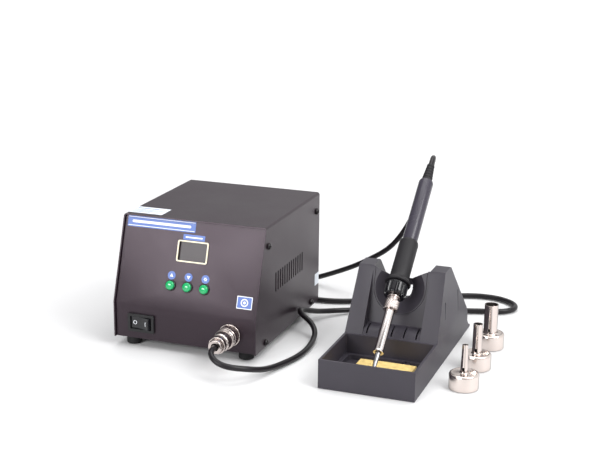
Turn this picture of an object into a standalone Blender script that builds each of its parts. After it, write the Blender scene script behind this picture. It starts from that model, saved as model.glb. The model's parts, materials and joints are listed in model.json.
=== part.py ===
"""Soldering and hot air bench set: control unit, iron on its moulded stand with a
sponge, three hot air nozzles, and the iron's cord.

Units are metres, +Z up, -Y is the front. Driving dimensions are in millimetres below
and are measured from the control unit's front left corner (station coordinates). One
empty, "origin", moves everything so that the set's own origin is the middle of its
footprint on the bench.
"""
import math

import bmesh
import bpy
from mathutils import Matrix, Vector

# ---------------------------------------------------------------- driving dimensions, mm
GAP = 0.3                     # between pieces that touch

# control unit
BOX_W, BOX_D, BOX_H = 130.0, 155.0, 103.0
FOOT_H, FOOT_R = 7.5, 6.6
FOOT_INX, FOOT_INY = 13.0, 12.0
SHEET = 1.2                   # steel sheet
BEND_R = 2.5                  # outer bend radius of the cover
KINK_Z = 31.5                 # height of the upright part of the front, above the cover's foot
SLOPE_Y = 23.5                # how far the slanted part leans back
INSET = 2.0                   # the panels sit this far inside the cover's edge
FLANGE = 14.0                 # the chassis's side flanges
VENTS, VENT_Y0, VENT_PITCH, VENT_W, VENT_Z0, VENT_Z1 = 13, 45.6, 5.35, 2.3, 49.2, 66.6
SCREWS_YZ = [(28.0, 94.0), (146.5, 94.5), (22.5, 11.5), (134.0, 12.0)]
SCREW_R, SCREW_HEAD_R, SCREW_HEAD_H = 1.4, 2.9, 1.9

# slanted panel: (across, up the slope) from its lower left corner
DISPLAY = (66.5, 48.9, 28.0, 18.2)      # centre and outer size of the frame
BUTTON_X, BUTTON_S, BUTTON_R = (50.0, 65.4, 80.8), 19.2, 3.85
BUTTON_TRAVEL = 1.2
# upright panel: (across, height above the bench)
ROCKER = (25.3, 22.0, 24.3, 15.7)       # centre and bezel
ROCKER_TILT = 12.0                      # degrees either side of level
SOCKET = (106.4, 22.3)
# rear panel
INLET = (38.0, 42.0)
FUSE_TRAVEL = 12.0

# stand, in its own millimetres from its front left corner
STAND_X, STAND_Y = 194.0, -27.8
STAND_W = 79.0
TRAY_H, TRAY_WALL, TRAY_BACK = 24.0, 2.1, 66.5
TOWER_W, TOWER_TOP = 15.2, 76.0
TOWER_SIDE = [(66.5, 24.0), (95.5, 76.0), (113.3, 76.0), (115.6, 75.0), (172.4, 20.6),
              (174.2, 17.5), (175.0, 9.0), (182.0, 2.6), (186.0, 2.0)]
LEAN = 0.05                             # the outer sides lean in above the tray
WALL_Y, WALL_SLOPE, WALL_T = 79.5, 0.2885, 2.2   # middle wall: y at z 24, dy/dz, thickness
WALL_TOP = 75.3
DISH_R, DISH_HOLE_R, DISH_DEPTH, DISH_T = 22.0, 9.3, 6.0, 2.0
DISH_Z = 60.3                           # height of the dish's centre on the wall
WELL = (6.5, 5.0, 72.5, 59.0)           # sponge well: x0, y0, x1, y1
SPONGE = (17.6, 7.6, 65.8, 54.4, 4.3, 8.6)
STAND_MID = STAND_W / 2

# iron: along its own axis, 0 at the point of the tip's visible cone
IRON_FOOT = (22.3, 16.1)                # y, z in the stand's millimetres
IRON_UP = 39.5                          # degrees above level

# nozzles: (x, y), tube radius at top and at foot, height
NOZZLES = {
    "small": ((301.0, 15.8), 2.35, 3.1, 36.0),
    "medium": ((300.8, 61.7), 3.85, 4.1, 38.0),
    "large": ((300.7, 113.6), 5.9, 5.9, 38.2),
}
NOZZLE_R, NOZZLE_H, NOZZLE_T = 12.0, 13.0, 0.9

CORD_R = 2.4
CORD_ROUTE = [          # station mm: from inside the plug, round the bench, to inside the strain relief
    (106.4, -22, 22.3), (106.4, -29.4, 22.4), (106.4, -37, 22), (109.5, -43.6, 19.5), (116, -46.6, 16.3), (123.8, -45.8, 14),
    (131.8, -41.6, 12.3), (139.8, -34.4, 10.1), (145.9, -18.6, 4.5), (152.7, 5.1, 2.5), (159.6, 28.2, 2.6), (159.1, 52.6, 2.5),
    (156.9, 66.5, 3.2), (155.5, 75.6, 5.9), (150.9, 81.7, 10.2), (144.9, 84.9, 13.7), (138.2, 87.7, 16.3), (133.6, 94.1, 17.2),
    (132.8, 101.8, 15.7), (135.8, 109, 13), (138.8, 117.2, 9.9), (142.8, 129.6, 6.1), (157.8, 147.8, 3.4), (179, 160.1, 2.5),
    (201.5, 167.6, 2.5), (223.8, 176.4, 2.5), (245.7, 184.7, 2.5), (269.6, 193.3, 2.5), (286.7, 197.9, 2.5), (295.4, 201.7, 2.5),
    (301.8, 208.9, 2.5), (303.2, 217.8, 2.5), (299.1, 226.1, 2.5), (291.4, 232.5, 2.5), (280.5, 237.6, 2.5), (262.3, 238.4, 2.5),
    (239.6, 228.5, 2.5), (219.5, 215.6, 2.5), (198.9, 203.8, 2.5), (178.9, 190.7, 2.5), (158.7, 178, 2.5), (136.4, 169.4, 2.5),
    (111.3, 168.7, 2.5), (92.7, 175.1, 2.5), (82.5, 184.4, 2.5), (77.4, 195.9, 2.5), (78.7, 207.8, 2.5), (86.3, 217, 3),
    (97.8, 221.2, 4.6), (110, 219.5, 8.6), (128.3, 212.8, 17.6), (149.5, 205.5, 28.3), (168.6, 199.1, 40.5), (187.8, 192.7, 53.7),
    (202, 190.5, 74), (211.8, 188, 94), (219.6, 183.5, 116), (225.4, 179, 132.5), (228.8, 174.4, 142), (231.3, 168.4, 148.2),
    (233, 160.9, 150.6), (233.5, 153.4, 147.4), (233.4, 147.7, 142.3), (233.4, 141.9, 137.6),
]

# the set's footprint, without the cord
ORIGIN_X = ((-SCREW_HEAD_H - GAP) + (NOZZLES["small"][0][0] + NOZZLE_R)) / 2
ORIGIN_Y = (STAND_Y + (STAND_Y + TOWER_SIDE[-1][0])) / 2

for o in list(bpy.data.objects):
    bpy.data.objects.remove(o, do_unlink=True)

SCENE = bpy.context.scene.collection


def mm(*v):
    return Vector([a * 0.001 for a in v])


def empty(name, parent=None, matrix=None):
    e = bpy.data.objects.new(name, None)
    e.empty_display_size = 0.01
    SCENE.objects.link(e)
    if parent is not None:
        e.parent = parent
    if matrix is not None:
        e.matrix_basis = matrix
    return e


ORIGIN = empty("origin", matrix=Matrix.Translation(mm(-ORIGIN_X, -ORIGIN_Y, 0)))
STAND = empty("stand_frame", ORIGIN, Matrix.Translation(mm(STAND_X, STAND_Y, 0)))


def frame(parent, name, at, x, y, z):
    """An empty at a point in mm, with the given axes."""
    m = Matrix((Vector(x).normalized(), Vector(y).normalized(), Vector(z).normalized())).transposed().to_4x4()
    m.translation = mm(*at)
    return empty(name, parent, m)


# ---------------------------------------------------------------- materials
MATS = {}


def material(name, rgb, rough, metal=0.0):
    if name not in MATS:
        m = bpy.data.materials.new(name)
        m.use_nodes = True
        b = m.node_tree.nodes["Principled BSDF"]
        b.inputs["Base Color"].default_value = (*rgb, 1)
        b.inputs["Roughness"].default_value = rough
        b.inputs["Metallic"].default_value = metal
        m.diffuse_color = (*rgb, 1)
        MATS[name] = m
    return MATS[name]


POWDER = material("powder_coat", (0.035, 0.031, 0.033), 0.42)
BLACK = material("black_plastic", (0.02, 0.02, 0.022), 0.4)
SCREW = material("black_screw", (0.02, 0.02, 0.02), 0.3, 0.8)
RUBBER = material("foot_rubber", (0.015, 0.015, 0.016), 0.75)
CREAM = material("cream_frame", (0.75, 0.7, 0.58), 0.45)
WINDOW = material("dark_window", (0.03, 0.025, 0.03), 0.1)
GREEN = material("green_button", (0.02, 0.42, 0.13), 0.25)
NICKEL = material("nickel", (0.72, 0.66, 0.62), 0.2, 1.0)
STEEL = material("barrel_steel", (0.7, 0.68, 0.66), 0.22, 1.0)
TIPMETAL = material("tip_metal", (0.55, 0.55, 0.57), 0.35, 1.0)
BOARD = material("board", (0.03, 0.16, 0.07), 0.5)
CORE = material("core_steel", (0.2, 0.2, 0.21), 0.5, 0.8)
COIL = material("coil_tape", (0.6, 0.5, 0.12), 0.5)
MOULD = material("stand_plastic", (0.07, 0.07, 0.08), 0.5)
SPONGEM = material("sponge", (0.85, 0.6, 0.2), 0.95)
GRIP = material("grip_rubber", (0.03, 0.03, 0.032), 0.6)
GLOSS = material("gloss_black", (0.012, 0.012, 0.015), 0.15)
TUBE = material("handle_plastic", (0.09, 0.085, 0.1), 0.32)
CORDM = material("cord_rubber", (0.02, 0.02, 0.022), 0.45)


# ---------------------------------------------------------------- shape helpers
def finish_mesh(bm, name, mat, smooth=None):
    bmesh.ops.remove_doubles(bm, verts=bm.verts, dist=1e-7)
    bmesh.ops.recalc_face_normals(bm, faces=bm.faces)
    me = bpy.data.meshes.new(name)
    bm.to_mesh(me)
    bm.free()
    if mat is not None:
        me.materials.append(mat)
    if smooth is not None:
        me.shade_smooth()
        me.set_sharp_from_angle(angle=math.radians(smooth))
    return me


def node(name, bm, mat, parent=ORIGIN, matrix=None, smooth=None):
    o = bpy.data.objects.new(name, finish_mesh(bm, name, mat, smooth))
    SCENE.objects.link(o)
    o.parent = parent
    if matrix is not None:
        o.matrix_basis = matrix
    return o


def cutter(name, bm, parent=ORIGIN, matrix=None):
    o = node(name, bm, None, parent, matrix)
    o.hide_render = True
    o.display_type = "WIRE"
    return o


def boolean(target, other, op="DIFFERENCE"):
    m = target.modifiers.new(other.name, "BOOLEAN")
    m.operation = op
    m.solver = "EXACT"
    m.object = other
    return m


def prism(bm, pts, axis, lo, hi):
    """A closed prism in bm: a polygon in mm, extruded along an axis."""
    def place(a, b, c):
        return mm(*{"X": (c, a, b), "Y": (a, c, b), "Z": (a, b, c)}[axis])
    face = bm.faces.new([bm.verts.new(place(a, b, lo)) for a, b in pts])
    out = bmesh.ops.extrude_face_region(bm, geom=[face])
    step = place(0, 0, hi - lo)
    bmesh.ops.translate(bm, verts=[g for g in out["geom"] if isinstance(g, bmesh.types.BMVert)], vec=step)
    return bm


def box(bm, x0, y0, z0, x1, y1, z1):
    return prism(bm, [(x0, y0), (x1, y0), (x1, y1), (x0, y1)], "Z", z0, z1)


def arc(cx, cy, r, a0, a1, n):
    return [(cx + r * math.cos(math.radians(a0 + (a1 - a0) * i / n)),
             cy + r * math.sin(math.radians(a0 + (a1 - a0) * i / n))) for i in range(n + 1)]


def rounded(x0, y0, x1, y1, r, n=4):
    return (arc(x1 - r, y0 + r, r, -90, 0, n) + arc(x1 - r, y1 - r, r, 0, 90, n)
            + arc(x0 + r, y1 - r, r, 90, 180, n) + arc(x0 + r, y0 + r, r, 180, 270, n))


def stadium(cx, cy, half, r, n=6):
    """A slot that stands up: centre, half length between the end centres, radius."""
    return arc(cx, cy + half, r, 0, 180, n) + arc(cx, cy - half, r, 180, 360, n)


def circle(cx, cy, r, n=16):
    return [(cx + r * math.cos(2 * math.pi * i / n), cy + r * math.sin(2 * math.pi * i / n)) for i in range(n)]


def revolve(bm, profile, steps):
    """A turned solid about local Z from a closed (radius, height) outline in mm."""
    verts = [bm.verts.new(mm(r, 0, h)) for r, h in profile]
    edges = []
    for a, b in zip(verts, verts[1:] + verts[:1]):
        if a.co.x < 1e-9 and b.co.x < 1e-9:
            continue
        edges.append(bm.edges.new((a, b)))
    bmesh.ops.spin(bm, geom=verts + edges, cent=(0, 0, 0), axis=(0, 0, 1), dvec=(0, 0, 0),
                   angle=2 * math.pi, steps=steps, use_merge=True, use_duplicate=False)
    bmesh.ops.remove_doubles(bm, verts=bm.verts, dist=2e-6)
    return bm


def new():
    return bmesh.new()


def at(x, y, z):
    return Matrix.Translation(mm(x, y, z))


# ---------------------------------------------------------------- control unit: cover
Z0, Z1 = FOOT_H, FOOT_H + BOX_H
KZ = FOOT_H + KINK_Z
ri = BEND_R - SHEET
outer = ([(BOX_W, Z0)] + arc(BOX_W - BEND_R, Z1 - BEND_R, BEND_R, 0, 90, 4)
         + arc(BEND_R, Z1 - BEND_R, BEND_R, 90, 180, 4) + [(0, Z0)])
inner = ([(SHEET, Z0)] + arc(SHEET + ri, Z1 - SHEET - ri, ri, 180, 90, 4)
         + arc(BOX_W - SHEET - ri, Z1 - SHEET - ri, ri, 90, 0, 4) + [(BOX_W - SHEET, Z0)])
cover = node("top_cover", prism(new(), outer + inner, "Y", 0, BOX_D), POWDER, smooth=40)

lean = SLOPE_Y / (BOX_H - KINK_Z)
bm = prism(new(), [(-4, KZ), (0, KZ), (SLOPE_Y + 5 * lean, Z1 + 5), (-4, Z1 + 5)], "X", -3, BOX_W + 3)
boolean(cover, cutter("cut_cover_front", bm))
bm = new()
for i in range(VENTS):
    prism(bm, stadium(VENT_Y0 + i * VENT_PITCH, (VENT_Z0 + VENT_Z1) / 2,
                      (VENT_Z1 - VENT_Z0) / 2 - VENT_W / 2, VENT_W / 2, 4), "X", -3, BOX_W + 3)
for y, z in SCREWS_YZ:
    prism(bm, circle(y, z, SCREW_R + 0.35, 12), "X", -3, BOX_W + 3)
boolean(cover, cutter("cut_vents", bm))

# ---------------------------------------------------------------- control unit: chassis
# slanted panel's own frame: X across, Y up the slope, Z out of the panel
slope_len = math.hypot(BOX_H - KINK_Z, SLOPE_Y)
up = Vector((0, SLOPE_Y, BOX_H - KINK_Z)) / slope_len
out = Vector((0, -up.z, up.y))
panel_at = Vector((0, 0, KZ)) - out * INSET
PANEL = frame(ORIGIN, "slant_frame", panel_at, (1, 0, 0), up, out)


def slant(depth, z=None, y=None):
    """The point (y, z) on the slanted plane that lies depth inside the cover's edge."""
    p = Vector((0, 0, KZ)) - out * depth
    t = (z - p.z) / up.z if z is not None else (y - p.y) / up.y
    q = p + up * t
    return (q.y, q.z)


TOP = Z1 - SHEET - 0.4
FRONT, REAR, LOW = INSET, BOX_D - INSET, Z0 + 0.2
side0 = SHEET + 0.4
chassis = node("base_chassis", prism(new(), [
    (FRONT, LOW), slant(INSET, y=FRONT), slant(INSET, z=TOP), (REAR, TOP), (REAR, LOW)][::-1],
    "X", side0, BOX_W - side0), POWDER, smooth=30)
S2 = INSET + SHEET
bm = prism(new(), [(FRONT + SHEET, LOW + SHEET), slant(S2, y=FRONT + SHEET), slant(S2, z=Z1 + 4),
                   (REAR - SHEET, Z1 + 4), (REAR - SHEET, LOW + SHEET)], "X", side0 + SHEET, BOX_W - side0 - SHEET)
boolean(chassis, cutter("cut_chassis_inside", bm))
bm = prism(new(), [(FLANGE, LOW + 11), slant(FLANGE, y=FLANGE), slant(FLANGE, z=Z1 + 4),
                   (REAR - 11, Z1 + 4), (REAR - 11, LOW + 11)], "X", -3, BOX_W + 3)
boolean(chassis, cutter("cut_chassis_sides", bm))

dx, ds, dw, dh = DISPLAY
bm = prism(new(), rounded(dx - dw / 2 + 1.3, ds - dh / 2 + 1.3, dx + dw / 2 - 1.3, ds + dh / 2 - 1.3, 1.0, 2), "Z", -4, 4)
for x in BUTTON_X:
    prism(bm, circle(x, BUTTON_S, BUTTON_R + 0.9, 16), "Z", -4, 4)
boolean(chassis, cutter("cut_slant_holes", bm, PANEL))
rx, rz, rw, rh = ROCKER
bm = prism(new(), rounded(rx - 10.95, rz - 6.75, rx + 10.95, rz + 6.75, 0.8, 2), "Y", FRONT - 3, FRONT + 3)
prism(bm, circle(SOCKET[0], SOCKET[1], 8.3, 20), "Y", FRONT - 3, FRONT + 3)
boolean(chassis, cutter("cut_front_holes", bm))
bm = prism(new(), rounded(INLET[0] - 13.9, INLET[1] - 15.9, INLET[0] + 13.9, INLET[1] + 15.9, 0.4, 1), "Y", REAR - 3, REAR + 3)
boolean(chassis, cutter("cut_rear_holes", bm))
bm = new()
for y, z in SCREWS_YZ:
    prism(bm, circle(y, z, SCREW_R + 0.35, 12), "X", -3, BOX_W + 3)
FEET = [(FOOT_INX, FOOT_INY), (BOX_W - FOOT_INX, FOOT_INY), (FOOT_INX, BOX_D - FOOT_INY), (BOX_W - FOOT_INX, BOX_D - FOOT_INY)]
for x, y in FEET:
    prism(bm, circle(x, y, 2.0, 12), "Z", LOW - 3, LOW + 3)
boolean(chassis, cutter("cut_small_holes", bm))

# pan-head screws, four a side
head = [(0, -SCREW_HEAD_H), (1.5, -SCREW_HEAD_H), (2.4, -SCREW_HEAD_H * 0.72), (SCREW_HEAD_R, -SCREW_HEAD_H * 0.25),
        (SCREW_HEAD_R, 0), (SCREW_R, 0), (SCREW_R, 4.0), (0, 4.0)]
k = 0
for side in (0, 1):
    for y, z in SCREWS_YZ:
        k += 1
        x = BOX_W + GAP if side else -GAP
        turn = Matrix.Rotation(math.radians(-90 if side else 90), 4, "Y")
        node("cover_screw_%d" % k, revolve(new(), head, 12), SCREW, ORIGIN, at(x, y, z) @ turn, smooth=40)

# feet: a rubber turning with a stem through the bottom plate
foot = [(0, 0), (FOOT_R - 1.0, 0), (FOOT_R - 0.3, 0.4), (FOOT_R, 1.2), (FOOT_R - 0.4, LOW - GAP), (1.6, LOW - GAP),
        (1.6, LOW + SHEET + 0.3), (2.4, LOW + SHEET + 0.8), (1.2, LOW + SHEET + 2.4), (0, LOW + SHEET + 2.4)]
foot = foot[:6] + [(1.6, LOW + SHEET + 0.35), (2.6, LOW + SHEET + 0.35), (1.2, LOW + SHEET + 2.4), (0, LOW + SHEET + 2.4)]
for i, (x, y) in enumerate(FEET):
    node("foot_%d" % (i + 1), revolve(new(), foot, 20), RUBBER, ORIGIN, at(x, y, 0), smooth=40)

# ---------------------------------------------------------------- slanted panel pieces
bm = prism(new(), rounded(dx - dw / 2, ds - dh / 2, dx + dw / 2, ds + dh / 2, 1.6, 4), "Z", GAP, 1.0)
bezel = node("display_bezel", bm, CREAM, PANEL, smooth=30)
bm = prism(new(), rounded(dx - dw / 2 + 1.2, ds - dh / 2 + 1.2, dx + dw / 2 - 1.2, ds + dh / 2 - 1.2, 0.8, 4), "Z", -1, 3)
boolean(bezel, cutter("cut_bezel", bm, PANEL))
node("display_window", prism(new(), rounded(dx - dw / 2 + 0.2, ds - dh / 2 + 0.2, dx + dw / 2 - 0.2, ds + dh / 2 - 0.2, 1, 2),
                             "Z", -2.7, -1.5), WINDOW, PANEL)
node("display_module", prism(new(), rounded(dx - 12.7, ds - 8.0, dx + 12.7, ds + 8.0, 0.5, 1), "Z", -9.2, -3.0), BLACK, PANEL)
board = node("control_board", box(new(), 40, 9, -11.1, 93, 64, -9.5), BOARD, PANEL)
bm = new()
for x, s in ((43, 12), (90, 12), (43, 61), (90, 61)):
    prism(bm, circle(x, s, 1.6, 12), "Z", -14, -6)
boolean(board, cutter("cut_board", bm, PANEL))

cap = [(0, -7.9), (1.6, -7.9), (1.6, -3.2), (BUTTON_R + 1.0, -3.2), (BUTTON_R + 1.0, -2.5), (BUTTON_R, -2.5),
       (BUTTON_R, 1.7)] + [(BUTTON_R * math.cos(math.radians(a)), 1.7 + 1.7 * math.sin(math.radians(a))) for a in (18, 36, 54, 72)] + [(0, 3.4)]
bush = [(BUTTON_R + 0.25, -1.9), (BUTTON_R + 0.6, -1.9), (BUTTON_R + 0.6, GAP), (BUTTON_R + 1.0, GAP),
        (BUTTON_R + 1.0, 0.9), (BUTTON_R + 0.8, 1.1), (BUTTON_R + 0.25, 1.1)]
for i, x in enumerate(BUTTON_X):
    node("button_%d" % (i + 1), revolve(new(), cap, 20), GREEN, PANEL, at(x, BUTTON_S, 0), smooth=40)
    node("button_bush_%d" % (i + 1), revolve(new(), bush, 20), BLACK, PANEL, at(x, BUTTON_S, 0), smooth=40)

# ---------------------------------------------------------------- rocker switch
SWITCH = frame(ORIGIN, "switch_frame", (rx, FRONT, rz), (1, 0, 0), (0, 0, 1), (0, -1, 0))   # Z out of the panel
housing = node("switch_housing", prism(new(), rounded(-rw / 2, -rh / 2, rw / 2, rh / 2, 1.0, 3), "Z", GAP, 2.3), BLACK, SWITCH, smooth=30)
body = cutter("add_switch_body", box(new(), -10.6, -6.4, -13, 10.6, 6.4, 1.0), SWITCH)
boolean(housing, body, "UNION")
boolean(housing, cutter("cut_switch_pocket", box(new(), -9.65, -5.55, -7.5, 9.65, 5.55, 5), SWITCH))
PIVOT = 0.5                              # the rocker's pin is this far behind the panel's face
a1 = arc(0, 0, 9.2, -26, 22, 6)
right = [(9.2 * math.cos(math.radians(a)), 9.2 * math.sin(math.radians(a))) for a in (-24, -14, -4, 8, 21)]
prof = ([(1.6, -4.6)] + right + [(0, 1.9)] + [(-x, y) for x, y in reversed(right)] + [(-1.6, -4.6)])
hinge = Matrix.Translation(mm(0, 0, -PIVOT))
# the rocker's outline lies across the switch, so its local Y is the switch's vertical
bm = new()
prism(bm, prof, "Y", -5.3, 5.3)          # (x, z) outline, extruded along the pin
rock = node("switch_rocker", bm, GLOSS, SWITCH, hinge @ Matrix.Rotation(math.radians(-ROCKER_TILT), 4, "Y"), smooth=35)

# ---------------------------------------------------------------- connector
CONN = frame(ORIGIN, "socket_frame", (SOCKET[0], FRONT, SOCKET[1]), (1, 0, 0), (0, 0, 1), (0, -1, 0))
node("panel_socket", revolve(new(), [
    (0, -12), (6.5, -12), (6.5, -4.2), (9.2, -4.2), (9.2, -1.5), (7.9, -1.5), (7.9, GAP), (9.7, GAP), (9.7, 1.6),
    (9.3, 2.0), (7.4, 2.0), (7.4, 8.0), (5.8, 8.0), (5.8, 4.0), (0, 4.0)], 28), NICKEL, CONN, smooth=40)
node("coupling_nut", revolve(new(), [
    (7.75, 2.3), (8.5, 2.3), (8.9, 2.8), (8.9, 8.6), (8.5, 9.0), (8.5, 9.6), (8.9, 10.0), (8.9, 11.4), (8.3, 12.2),
    (6.9, 12.2), (6.9, 9.0), (7.75, 9.0)], 28), NICKEL, CONN, smooth=40)
node("plug_shell", revolve(new(), [
    (0, 4.4), (5.4, 4.4), (5.4, 8.4), (6.5, 8.4), (6.5, 12.6), (8.7, 12.6), (8.7, 13.5), (7.9, 13.9), (7.9, 20.6),
    (7.3, 21.8), (5.9, 22.6), (5.9, 31.0), (5.4, 31.6), (3.2, 31.6), (3.0, 31.2), (3.0, 23.0), (0, 23.0)], 28), NICKEL, CONN, smooth=40)
node("clamp_ring", revolve(new(), [(6.2, 23.4), (7.0, 23.4), (7.3, 23.9), (7.3, 27.3), (6.9, 27.8), (6.2, 27.8)], 24), NICKEL, CONN, smooth=40)

# ---------------------------------------------------------------- mains inlet with its fuse drawer
IN = frame(ORIGIN, "inlet_frame", (INLET[0], REAR, INLET[1]), (-1, 0, 0), (0, 0, 1), (0, 1, 0))
inlet = node("power_inlet", prism(new(), rounded(-15.6, -17.6, 15.6, 17.6, 2, 3), "Z", GAP, 2.8), BLACK, IN, smooth=30)
boolean(inlet, cutter("add_inlet_body", box(new(), -13.5, -15.5, -16, 13.5, 15.5, 1.0), IN), "UNION")
bm = prism(new(), [(-11.6, -4.4), (11.6, -4.4), (11.6, 7.0), (7.6, 11.2), (-7.6, 11.2), (-11.6, 7.0)], "Z", -12.5, 5)
box(bm, -9.3, -13.3, -13, 9.3, -7.0, 5)
boolean(inlet, cutter("cut_inlet", bm, IN))
fuse = prism(new(), rounded(-9.0, -13.0, 9.0, -7.3, 0.5, 2), "Z", -12.6, 3.4)
node("fuse_drawer", fuse, BLACK, IN, smooth=30)

# ---------------------------------------------------------------- transformer
TX, TY, TZ = 84.0, 104.0, LOW + SHEET + GAP + 22.5
core = node("transformer_core", box(new(), -27, -11, -22.5, 27, 11, 22.5), CORE, ORIGIN, at(TX, TY, TZ))
bm = box(new(), 9, -13, -13.5, 18, 13, 13.5)
box(bm, -18, -13, -13.5, -9, 13, 13.5)
boolean(core, cutter("cut_core", bm, ORIGIN, at(TX, TY, TZ)))
coil = node("transformer_coil", prism(new(), rounded(-17.7, -20, 17.7, 20, 4, 3), "Z", -13.2, 13.2), COIL, ORIGIN, at(TX, TY, TZ), smooth=40)
boolean(coil, cutter("cut_coil", box(new(), -9.3, -11.3, -15, 9.3, 11.3, 15), ORIGIN, at(TX, TY, TZ)))

# ---------------------------------------------------------------- stand: one moulded shell
W = STAND_W
tower = [(0, 0), (0, TRAY_H)] + TOWER_SIDE + [(186.0, 0)]
mid_in = TOWER_W
stand = node("stand_base", prism(new(), [(0, 0), (186.0, 0)] + TOWER_SIDE[::-1] + [(0, TRAY_H)], "X", 0, W), MOULD, STAND, smooth=25)


def wall_y(z):
    return WALL_Y + WALL_SLOPE * (z - TRAY_H)


# between the towers: rounded ledge, middle wall, and the valley floor behind it
ledge = [(TRAY_BACK + 0.0, TRAY_H)] + [(80.6 - 13.0 * math.cos(math.radians(a)), TRAY_H + 6.6 * math.sin(math.radians(a)))
                                       for a in (12, 28, 44, 60, 76)] + [(80.8, 30.6)]
wall_back = WALL_T / math.cos(math.atan(WALL_SLOPE))
above = ([(60, TRAY_H + 0.001)] + ledge + [(wall_y(31.0), 31.0), (wall_y(WALL_TOP), WALL_TOP),
         (wall_y(WALL_TOP) + wall_back, WALL_TOP), (wall_y(34) + wall_back, 34.0), (171.0, 8.0), (190, 8.0), (190, 90), (60, 90)])
above = above[1:]
above = [(TRAY_BACK - 3, TRAY_H)] + above[:-1] + [(TRAY_BACK - 3, 90)]
boolean(stand, cutter("cut_valley", prism(new(), above[::-1], "X", TOWER_W, W - TOWER_W), STAND))

# the outer sides lean in above the tray
bm = new()
for s in (0, 1):
    pts = [(-5, TRAY_H), (0, TRAY_H), (LEAN * (82 - TRAY_H), 82), (-5, 82)]
    if s:
        pts = [(W - x, z) for x, z in reversed(pts)]
    prism(bm, pts, "Y", TRAY_BACK - 2, 190)
boolean(stand, cutter("cut_lean", bm, STAND))

# tray: open box with a shelf and the sponge well sunk in it, hollow below
SHELF, FLOOR = 7.4, 4.0
bm = prism(new(), rounded(TRAY_WALL, TRAY_WALL, W - TRAY_WALL, TRAY_BACK - 2.2, 1.2, 3), "Z", SHELF, 60)
boolean(stand, cutter("cut_tray", bm, STAND))
rim = cutter("add_well_rim", prism(new(), rounded(WELL[0] - 1.6, WELL[1] - 1.6, WELL[2] + 1.6, WELL[3] + 1.6, 5.6, 5), "Z", 5, SHELF + 1.0), STAND)
boolean(stand, rim, "UNION")
bm = prism(new(), rounded(*WELL, 4.0, 5), "Z", FLOOR, 60)
boolean(stand, cutter("cut_well", bm, STAND))
boolean(stand, cutter("cut_rim_notch", box(new(), 53.5, WELL[3] - 2, SHELF - 1.5, 58.5, WELL[3] + 3.5, SHELF + 8), STAND))
boolean(stand, cutter("cut_under_tray", box(new(), 3, 3, -2, W - 3, TRAY_BACK - 4.4, FLOOR - 2.2), STAND))

# hollows below the towers and the valley, open to the bench
T = 2.2
tower_in = [(TRAY_BACK + T, -2), (TRAY_BACK + T, 22.8), (TRAY_BACK + T + 0.6 + 28.4, TOWER_TOP - T),
            (112.6, TOWER_TOP - T), (170.0, 18.8), (171.8, 16.0), (172.7, 7.6), (173.4, -2)]
bm = new()
for x0, x1 in ((4.4, TOWER_W - T), (W - TOWER_W + T, W - 4.4)):
    prism(bm, tower_in, "X", x0, x1)
mid_hollow = [(TRAY_BACK + T, -2), (TRAY_BACK + T, TRAY_H - 0.2)] + \
    [(80.6 - 10.6 * math.cos(math.radians(a)), TRAY_H - 0.2 + 4.4 * math.sin(math.radians(a))) for a in (20, 45, 70)] + \
    [(wall_y(28.4) , 28.4), (wall_y(31.6) + wall_back - T + 0.1, 31.6), (168.6, 6.0), (172.0, 5.6), (172.6, -2)]
prism(bm, mid_hollow, "X", TOWER_W + T, W - TOWER_W - T)
boolean(stand, cutter("cut_hollows", bm, STAND))

# five slots over the ledge
bm = new()
for k in range(-2, 3):
    x = STAND_MID + 10.5 * k
    box(bm, x - 0.65, 65.0, TRAY_H + 0.9, x + 0.65, 79.6, 34)
boolean(stand, cutter("cut_slots", bm, STAND))

# two tapered grooves on each outer side
bm = new()
for s in (0, 1):
    for y, za, zb, w in ((94.0, 51.0, 36.0, 1.0), (137.5, 49.0, 30.0, 1.0)):
        xo = LEAN * (za - TRAY_H)
        pts = [(y - w, za), (y + w, za), (y + 0.25, zb), (y - 0.25, zb)]
        if s:
            prism(bm, pts, "X", W - xo - 0.9, W + 2)
        else:
            prism(bm, pts, "X", -2, xo + 0.9)
boolean(stand, cutter("cut_grooves", bm, STAND))

# round opening in the middle wall for the cradle, running out through the wall's top
wn = Vector((0, -1, WALL_SLOPE)).normalized()        # out of the wall, forwards
wu = Vector((0, WALL_SLOPE, 1)).normalized()         # up the wall
CRADLE = frame(STAND, "cradle_frame", (STAND_MID, wall_y(DISH_Z), DISH_Z), (1, 0, 0), wu, wn)


def u_shape(r, top, n=20):
    return arc(0, 0, r, 180, 360, n) + [(r, top), (-r, top)]


boolean(stand, cutter("cut_cradle_hole", prism(new(), u_shape(DISH_R + GAP, 40), "Z", -WALL_T - 6, 8), CRADLE))

# ---------------------------------------------------------------- cradle: U plate with a dish and a hole
top_u = 15.4
cradle = node("holder_cradle", prism(new(), u_shape(DISH_R, top_u, 20), "Z", -WALL_T, 0), MOULD, CRADLE, smooth=35)
flange = prism(new(), u_shape(DISH_R + 1.4, top_u, 20), "Z", -WALL_T - GAP - 1.5, -WALL_T - GAP)
boolean(cradle, cutter("add_cradle_flange", flange, CRADLE), "UNION")
dish_out = revolve(new(), [(0, -DISH_DEPTH - DISH_T), (DISH_HOLE_R + 2.4, -DISH_DEPTH - DISH_T), (DISH_R - 0.6, -WALL_T - 1.2),
                           (DISH_R - 0.6, -0.6), (0, -0.6)], 40)
boolean(cradle, cutter("add_dish", dish_out, CRADLE), "UNION")
dish_in = revolve(new(), [(0, -DISH_DEPTH), (DISH_HOLE_R + 1.2, -DISH_DEPTH), (DISH_R - 0.9, 0.0), (DISH_R - 0.9, 3), (0, 3)], 40)
boolean(cradle, cutter("cut_dish", dish_in, CRADLE))
hole = [(DISH_HOLE_R * math.cos(math.radians(a)), DISH_HOLE_R * math.sin(math.radians(a))) for a in [205 + 13.0 * i for i in range(11)]]
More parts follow.
